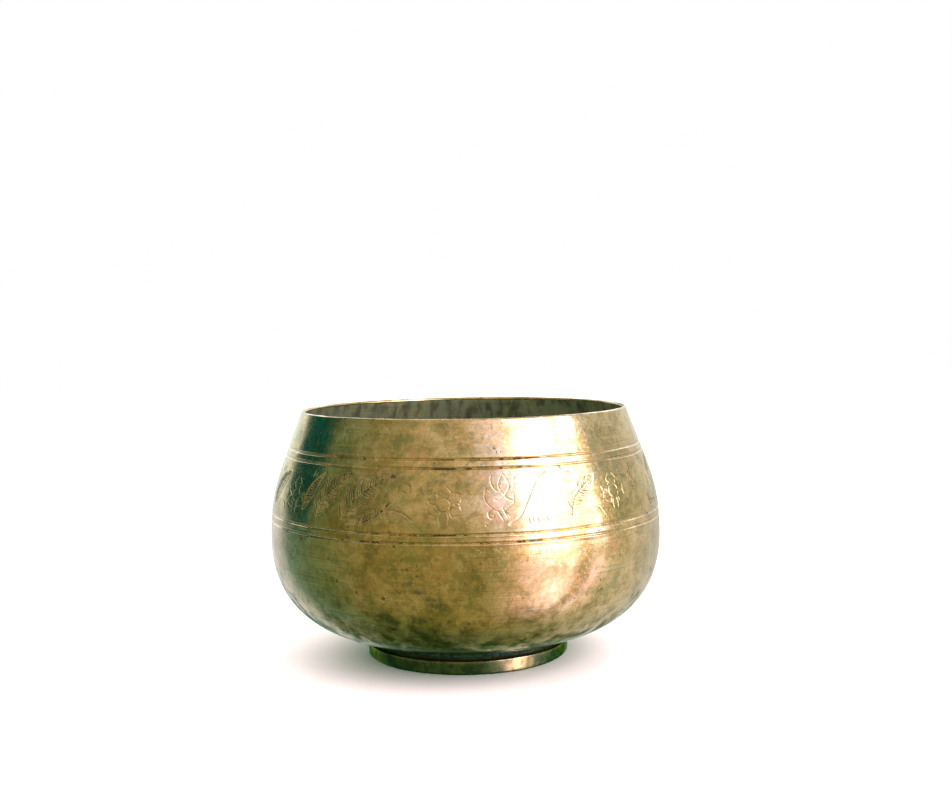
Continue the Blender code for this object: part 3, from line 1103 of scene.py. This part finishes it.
def stained_brass(name):
    """The inside: dull olive brass with lathe lines, water runs, a lime tide line and dark stains."""
    n = Paint(name)
    cloud = n.noise(n.place, 22.0, 5.0, 0.55)
    patch = n.noise(n.place, 110.0, 5.0, 0.6)
    fine = n.noise(n.place, 520.0, 4.0, 0.65)
    runs = n.noise(n.stretched(1.0, 1.0, 0.16), 260.0, 4.0, 0.6, 0.4)
    lathe = n.noise(lathe_place(n), 1.0, 3.0, 0.6)
    tone = n.plus(n.plus(n.times(cloud, 0.4), n.times(patch, 0.42)), n.times(runs, 0.18))
    level = n.plus(n.height, n.times(n.maths("SUBTRACT", cloud, 0.5), 0.01))
    bloom = n.times(n.span(level, 0.05, 0.082, 0.1, 1.0), n.span(runs, 0.36, 0.62, 0.35, 1.0))
    tide = n.times(n.span(level, 0.0775, 0.0785), n.span(level, 0.0803, 0.079))
    tide = n.times(tide, n.span(fine, 0.38, 0.56, 0.2, 1.0))
    n.set("Base Color", n.layered(INSIDE_DARK, [
        (n.span(tone, 0.38, 0.62), INSIDE_PALE),
        (n.span(lathe, 0.48, 0.36, 0.0, 0.4), LATHE_LINE),
        (n.span(fine, 0.58, 0.7, 0.0, 0.6), STAIN),
        (n.times(bloom, 0.45), BLOOM),
        (n.times(tide, 0.4), LIME),
    ]))
    n.set("Metallic", n.span(bloom, 0.1, 0.9, 0.85, 0.45))
    n.set("Roughness", n.span(tone, 0.4, 0.6, 0.52, 0.38))
    n.relief([(patch, 0.0002, 0.2), (fine, 0.0001, 0.35), (lathe, 0.00008, 0.35)])
    return n.material


def spelter(name):
    """Dull dark green brazing spelter with flecks of verdigris; its dark green is also painted shade for the
    gap under the bowl.
    """
    n = Paint(name)
    cloud = n.noise(n.place, 180.0, 5.0, 0.6, 0.4)
    fine = n.noise(n.place, 900.0, 4.0, 0.6)
    colour = n.blend(n.span(cloud, 0.4, 0.6), SPELTER_DARK, SPELTER_PALE)
    colour = n.blend(n.span(fine, 0.56, 0.7, 0.0, 0.7), colour, VERDIGRIS)
    n.set("Base Color", colour)
    n.set("Metallic", n.span(fine, 0.45, 0.65, 0.9, 0.4))
    n.set("Roughness", n.span(cloud, 0.35, 0.65, 0.65, 0.42))
    n.relief([(cloud, 0.0003, 0.5), (fine, 0.0001, 0.4)])
    return n.material


def floor_paint(name):
    """Smooth warm white paper with a faint tooth."""
    n = Paint(name)
    tooth = n.noise(n.place, 900.0, 2.0)
    drift = n.noise(n.place, 2.0, 2.0)
    n.set("Base Color", n.blend(drift, (0.93, 0.84, 0.8), (0.94, 0.85, 0.81)))
    n.set("Roughness", 0.75)
    n.relief([(tooth, 0.00005, 0.1)])
    return n.material


# ---- studio


def make_floor():
    """A wide flat round floor."""
    rows = [{"points": ring(radius, 0.0, ring_angles(96))} for radius in (2.4, 1.2, 0.6, 0.25, 0.1, 0.02)]
    mesh = turned_mesh("floor", rows, (False, True))
    mesh.flip_normals()
    mesh.materials.append(floor_paint("floor_paper"))
    floor = add_object("floor", mesh)
    floor.visible_glossy = False


# What the pot reflects, as red, green and blue by direction round it: the front is 0, the right 0.5,
# the left -0.5 and the back 1 or -1. WALLS is above the horizon, GROUND below it, UNDERFOOT straight down.
WALLS = [
    (-1.0, 1.2, 1.32, 1.5), (-0.7, 1.2, 1.36, 1.6), (-0.62, 0.5, 0.6, 0.6),
    (-0.545, 0.2, 0.3, 0.24), (-0.45, 0.22, 0.29, 0.22), (-0.33, 0.33, 0.35, 0.26),
    (-0.18, 0.56, 0.55, 0.5), (0.0, 0.58, 0.55, 0.52), (0.05, 0.86, 0.84, 1.12),
    (0.11, 1.25, 1.2, 2.4), (0.17, 1.75, 1.6, 3.0), (0.43, 1.1, 1.05, 1.6),
    (0.48, 0.6, 0.68, 0.88), (0.62, 0.66, 0.74, 0.92), (0.8, 0.95, 0.97, 1.15),
    (1.0, 1.2, 1.32, 1.5),
]
LOW_TINT = (0.84, 0.86, 0.66)
HIGH_TINT = (1.14, 1.22, 1.45)
DRAPE = (0.0, 0.1, 0.12)
GROUND = [
    (-1.0, 0.62, 0.68, 0.58), (-0.9, 0.86, 0.92, 0.88), (-0.78, 0.7, 0.8, 0.88),
    (-0.72, 0.36, 0.56, 0.64), (-0.67, 0.14, 0.3, 0.3), (-0.5, 0.18, 0.29, 0.19),
    (-0.35, 0.32, 0.34, 0.21), (-0.2, 0.38, 0.41, 0.26), (-0.08, 0.42, 0.44, 0.28),
    (0.02, 0.35, 0.39, 0.24), (0.085, 0.37, 0.4, 0.25), (0.125, 0.64, 0.64, 0.58),
    (0.17, 1.0, 0.88, 1.15), (0.225, 1.6, 1.4, 2.3), (0.28, 2.6, 2.25, 4.2),
    (0.355, 3.2, 2.8, 5.0), (0.378, 0.36, 0.38, 0.34), (0.412, 0.36, 0.38, 0.34),
    (0.43, 2.2, 2.0, 3.6), (0.458, 1.7, 1.6, 2.6), (0.495, 0.84, 0.92, 1.1),
    (0.6, 0.82, 0.88, 0.98), (0.75, 0.67, 0.73, 0.74), (0.87, 0.66, 0.66, 0.58),
    (1.0, 0.62, 0.68, 0.58),
]
UNDERFOOT = [
    (-1.0, 0.12, 0.19, 0.12), (-0.6, 0.16, 0.24, 0.15), (-0.25, 0.28, 0.33, 0.18),
    (0.0, 0.37, 0.38, 0.2), (0.12, 0.3, 0.31, 0.16), (0.3, 0.27, 0.3, 0.13),
    (0.5, 0.22, 0.28, 0.1), (0.75, 0.15, 0.22, 0.08), (1.0, 0.12, 0.19, 0.12),
]
OVERHEAD = (0.8, 0.78, 0.75)
LOW_DOME = (0.4, 1.45, 0.95)
HIGH_DOME = (2.3, 2.02, 2.1)


class Studio(Nodes):
    """The world's nodes."""

    def __init__(self, name):
        world = bpy.data.worlds.new(name)
        world.use_nodes = True
        bpy.context.scene.world = world
        super().__init__(world.node_tree)
        self.tree.nodes.clear()

    def ramp(self, share, stops):
        """A colour that changes round the studio, from stops of (direction, red, green, blue)."""
        made = self.add("ShaderNodeValToRGB")
        self.feed(made.inputs[0], share)
        elements = made.color_ramp.elements
        while len(elements) < len(stops):
            elements.new(0.5)
        for element, (turn, *colour) in zip(elements, stops):
            element.position = 0.5 + 0.5 * turn
            element.color = (*colour, 1.0)
        return made.outputs[0]

    def pick(self, share, first, second):
        """The first light, or the second where share is 1."""
        made = self.add("ShaderNodeMixShader")
        for socket, value in zip(made.inputs, (share, first, second)):
            self.feed(socket, value)
        return made.outputs[0]

    def background(self, colour):
        """Light of a colour."""
        made = self.add("ShaderNodeBackground")
        self.feed(made.inputs["Color"], colour)
        return made.outputs[0]


def make_world():
    """The studio: white paper to the camera, a soft dome for matt light, and a room in reflections.

    The room has pale walls, a ground that darkens underfoot and a leaning dark green drape at its left.
    """
    w = Studio("studio")
    split = w.add("ShaderNodeSeparateXYZ")
    w.feed(split.inputs[0], w.add("ShaderNodeTexCoord").outputs["Generated"])
    east, north, rise = split.outputs
    turn = w.maths("ARCTAN2", east, w.times(north, -1.0))
    share = w.plus(w.times(turn, 0.5 / pi), 0.5)
    sunk = w.plus(w.times(w.span(share, 0.18, 0.12), -0.13), w.times(w.span(share, 0.7, 0.76), 0.08))
    depth = w.plus(rise, sunk)
    ground = w.blend(w.span(depth, -0.6, -0.99), w.ramp(share, GROUND), w.ramp(share, UNDERFOOT))
    tint = w.blend(w.span(rise, 0.05, 0.55), LOW_TINT, HIGH_TINT)
    walls = w.blend(1.0, w.ramp(share, WALLS), tint, "MULTIPLY")
    leaning = w.plus(share, w.times(rise, 0.14))
    drape = w.times(w.span(leaning, 0.13, 0.15), w.span(share, 0.2275, 0.215))
    walls = w.blend(drape, walls, DRAPE)
    walls = w.blend(w.span(rise, 0.74, 0.88), walls, OVERHEAD)
    room = w.background(w.blend(w.span(rise, 0.0, -0.07), walls, ground))
    paper = w.background((1.0, 1.0, 1.0, 1.0))
    dome = w.background(w.blend(w.span(rise, 0.25, 0.5), LOW_DOME, HIGH_DOME))
    path = w.add("ShaderNodeLightPath")
    lit = w.pick(path.outputs["Is Diffuse Ray"], room, dome)
    seen = w.pick(path.outputs["Is Camera Ray"], lit, paper)
    w.feed(w.add("ShaderNodeOutputWorld").inputs["Surface"], seen)


def soft_light(name, width, height, radiance, place, colour=(1.0, 1.0, 1.0)):
    """An area light that the camera can't see, facing down; radiance is the brightness of its face."""
    light = bpy.data.lights.new(name, "AREA")
    light.shape = "RECTANGLE"
    light.size, light.size_y = width, height
    light.energy = radiance * pi * light.size * light.size_y
    light.color = colour
    thing = add_object(name, light)
    thing.location = place
    thing.visible_camera = False
    return thing


def face_away(thing, outward):
    """Turns a light to shine against a direction."""
    thing.rotation_euler = Vector(outward).to_track_quat("Z", "Y").to_euler()


def window_pane(name, left, right, radiance):
    """An upright pane that only reflections see, between two directions in degrees from the front."""
    middle, half = radians((left + right) / 2), radians((right - left) / 2)
    outward = Vector((sin(middle), -cos(middle), 0.0))
    place = outward * WINDOW_DISTANCE + Vector((0, 0, WINDOW_HEIGHT / 2))
    width = 2 * WINDOW_DISTANCE * tan(half)
    pane = soft_light(name, width, WINDOW_HEIGHT, radiance, place, WINDOW_COLOUR)
    pane.visible_diffuse = False
    face_away(pane, outward)


def make_lights():
    """Two window panes at the right, a light for the matt surfaces and one that hangs behind the pot."""
    window_pane("window_wide", 33.0, 62.0, 5.5)
    window_pane("window_narrow", 67.0, 79.0, 4.5)
    side = soft_light("side_light", 0.9, 0.7, 4.4, (0.66, -0.44, 0.42), (1.0, 0.93, 0.9))
    side.visible_glossy = False
    face_away(side, (0.66, -0.44, 0.38))
    soft_light("back_light", 4.0, 2.6, 1.6, (0.0, 2.6, 1.5))


def make_camera():
    """A camera a little above the rim, looking slightly down at the pot."""
    camera = bpy.data.cameras.new("camera")
    camera.sensor_width = SENSOR
    camera.lens = LENS
    turn = Matrix.Rotation(radians(YAW), 4, "Z")
    turn = turn @ Matrix.Rotation(pi / 2 + radians(PITCH), 4, "X")
    turn = turn @ Matrix.Rotation(radians(ROLL), 4, "Z")
    thing = add_object("camera", camera)
    thing.matrix_world = Matrix.Translation(CAMERA_PLACE) @ turn
    bpy.context.scene.camera = thing


def main():
    """Builds the three pieces and the studio."""
    # The bowl darkens from 36 mm down: real tarnish, and also painted shade on its lower belly.
    outside = old_brass(
        "bowl_brass_worn", BOWL_PATINA, tarnish_top=0.036, tarnish_full=0.01, least_tarnish=0.0, wax=0.7,
        marked=True,
    )
    inside = stained_brass("bowl_brass_inside")
    foot = old_brass(
        "foot_brass_worn", FOOT_PATINA, tarnish_top=0.02, tarnish_full=0.004, least_tarnish=0.97, wax=0.12,
    )
    bowl_mesh = turned_mesh("bowl_chased", bowl_rows(), (True, True))
    piece(bowl_mesh, [outside, inside], "bowl")
    piece(turned_mesh("foot_ring_turned", foot_rows()), [foot], "foot_ring")
    piece(turned_mesh("spelter_fillet", seam_rows()), [spelter("spelter_dull")], "spelter_seam")
    make_floor()
    make_world()
    make_lights()
    make_camera()
    bpy.context.scene.view_settings.view_transform = "Standard"


main()
